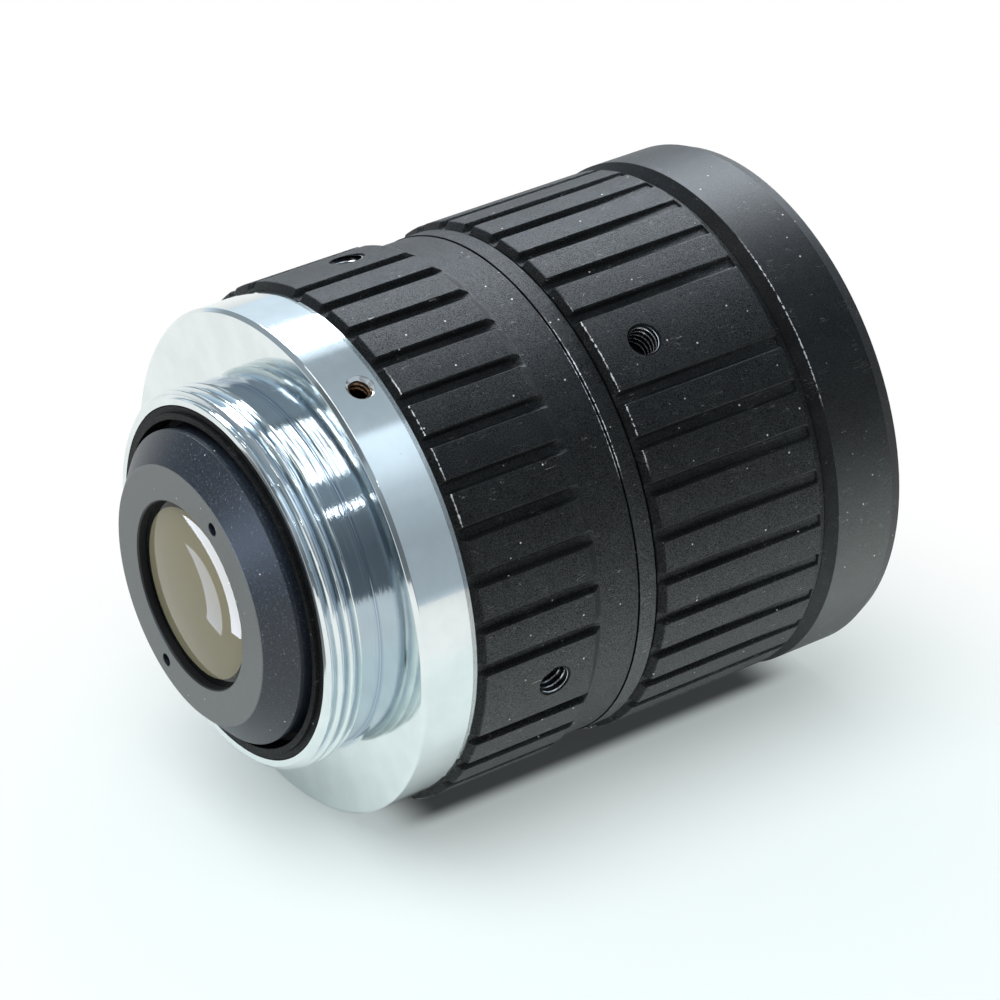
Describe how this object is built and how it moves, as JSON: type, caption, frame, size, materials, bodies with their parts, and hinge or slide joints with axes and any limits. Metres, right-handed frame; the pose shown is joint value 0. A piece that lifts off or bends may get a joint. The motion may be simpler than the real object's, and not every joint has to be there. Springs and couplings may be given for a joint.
{
  "type": "c-mount machine vision lens",
  "caption": "Fixed focal length inspection lens with fluted focus and iris rings, a threaded one inch mount with a flange at the rear, and a filter thread at the front.",
  "frame": {"origin": "centre of the front rim's plane, on the lens axis", "axes": "+Z along the lens axis from the front rim to the rear cell; the lens stands on its front rim"},
  "size_m": [0.0354, 0.0354, 0.0435],
  "materials": {
    "satin_chrome_brass": "satin chrome plate on turned brass",
    "black_steel": "black oxide",
    "bare_steel": "ground",
    "blade_steel": "thin black coated spring steel",
    "black_anodised_aluminium": "turned, black anodised",
    "grip_anodised_aluminium": "fine blasted, dark grey anodised",
    "front_anodised_aluminium": "fine blasted, dark grey anodised",
    "grey_anodised_aluminium": "turned, dark grey anodised",
    "blackened_brass": "matt blackened",
    "coated_optical_glass": "polished, anti-reflection coated"
  },
  "bodies": {
    "barrel": {"mount_ring": "satin_chrome_brass", "mount_set_screws": "black_steel", "main_barrel": "black_anodised_aluminium", "rear_lock_ring": "blackened_brass", "rear_cell": "grey_anodised_aluminium", "rear_lens": "coated_optical_glass", "rear_spacer": "blackened_brass", "rear_inner_lens": "coated_optical_glass", "rear_retainer": "blackened_brass", "iris_cup": "blackened_brass", "iris_cover": "blackened_brass", "iris_retainer": "blackened_brass", "guide_key": "bare_steel"},
    "iris_ring": {"iris_ring": "grip_anodised_aluminium", "iris_drive_pin": "bare_steel", "cam_ring": "blackened_brass"},
    "iris_blade_1": {"iris_blade_1": "blade_steel"},
    "iris_blade_2": {"iris_blade_2": "blade_steel"},
    "iris_blade_3": {"iris_blade_3": "blade_steel"},
    "iris_blade_4": {"iris_blade_4": "blade_steel"},
    "iris_blade_5": {"iris_blade_5": "blade_steel"},
    "iris_blade_6": {"iris_blade_6": "blade_steel"},
    "carriage": {"carriage": "black_anodised_aluminium", "front_lens": "coated_optical_glass", "front_retainer": "blackened_brass", "front_spacer": "blackened_brass", "second_lens": "coated_optical_glass", "third_lens": "coated_optical_glass", "carriage_retainer": "blackened_brass"},
    "focus_ring": {"focus_ring": "grip_anodised_aluminium", "front_ring": "front_anodised_aluminium"}
  },
  "joints": [
    {"name": "iris_turn", "type": "hinge", "parent": "barrel", "child": "iris_ring", "pos_m": [0, 0, 0.0297], "axis": [0, 0, 1], "range_deg": [0, 50]},
    {"name": "iris_blade_1_swing", "type": "hinge", "parent": "barrel", "child": "iris_blade_1", "pos_m": [0.0104, 0, 0.0315], "axis": [0, 0, 1], "range_deg": [0, 29.5]},
    {"name": "iris_blade_2_swing", "type": "hinge", "parent": "barrel", "child": "iris_blade_2", "pos_m": [0.0052, 0.00901, 0.0315], "axis": [0, 0, 1], "range_deg": [0, 29.5]},
    {"name": "iris_blade_3_swing", "type": "hinge", "parent": "barrel", "child": "iris_blade_3", "pos_m": [-0.0052, 0.00901, 0.0315], "axis": [0, 0, 1], "range_deg": [0, 29.5]},
    {"name": "iris_blade_4_swing", "type": "hinge", "parent": "barrel", "child": "iris_blade_4", "pos_m": [-0.0104, 0, 0.0315], "axis": [0, 0, 1], "range_deg": [0, 29.5]},
    {"name": "iris_blade_5_swing", "type": "hinge", "parent": "barrel", "child": "iris_blade_5", "pos_m": [-0.0052, -0.00901, 0.0315], "axis": [0, 0, 1], "range_deg": [0, 29.5]},
    {"name": "iris_blade_6_swing", "type": "hinge", "parent": "barrel", "child": "iris_blade_6", "pos_m": [0.0052, -0.00901, 0.0315], "axis": [0, 0, 1], "range_deg": [0, 29.5]},
    {"name": "focus_slide", "type": "slide", "parent": "barrel", "child": "carriage", "axis": [0, 0, -1], "range_m": [0, 0.002]},
    {"name": "focus_turn", "type": "hinge", "parent": "carriage", "child": "focus_ring", "pos_m": [0, 0, 0.0125], "axis": [0, 0, 1], "range_deg": [0, 150]}
  ],
  "couplings": [
    {"joint": "iris_blade_1_swing", "follows": "iris_turn", "ratio": 0.59},
    {"joint": "iris_blade_2_swing", "follows": "iris_turn", "ratio": 0.59},
    {"joint": "iris_blade_3_swing", "follows": "iris_turn", "ratio": 0.59},
    {"joint": "iris_blade_4_swing", "follows": "iris_turn", "ratio": 0.59},
    {"joint": "iris_blade_5_swing", "follows": "iris_turn", "ratio": 0.59},
    {"joint": "iris_blade_6_swing", "follows": "iris_turn", "ratio": 0.59},
    {"joint": "focus_slide", "follows": "focus_turn", "m_per_rad": 0.00076394}
  ]
}
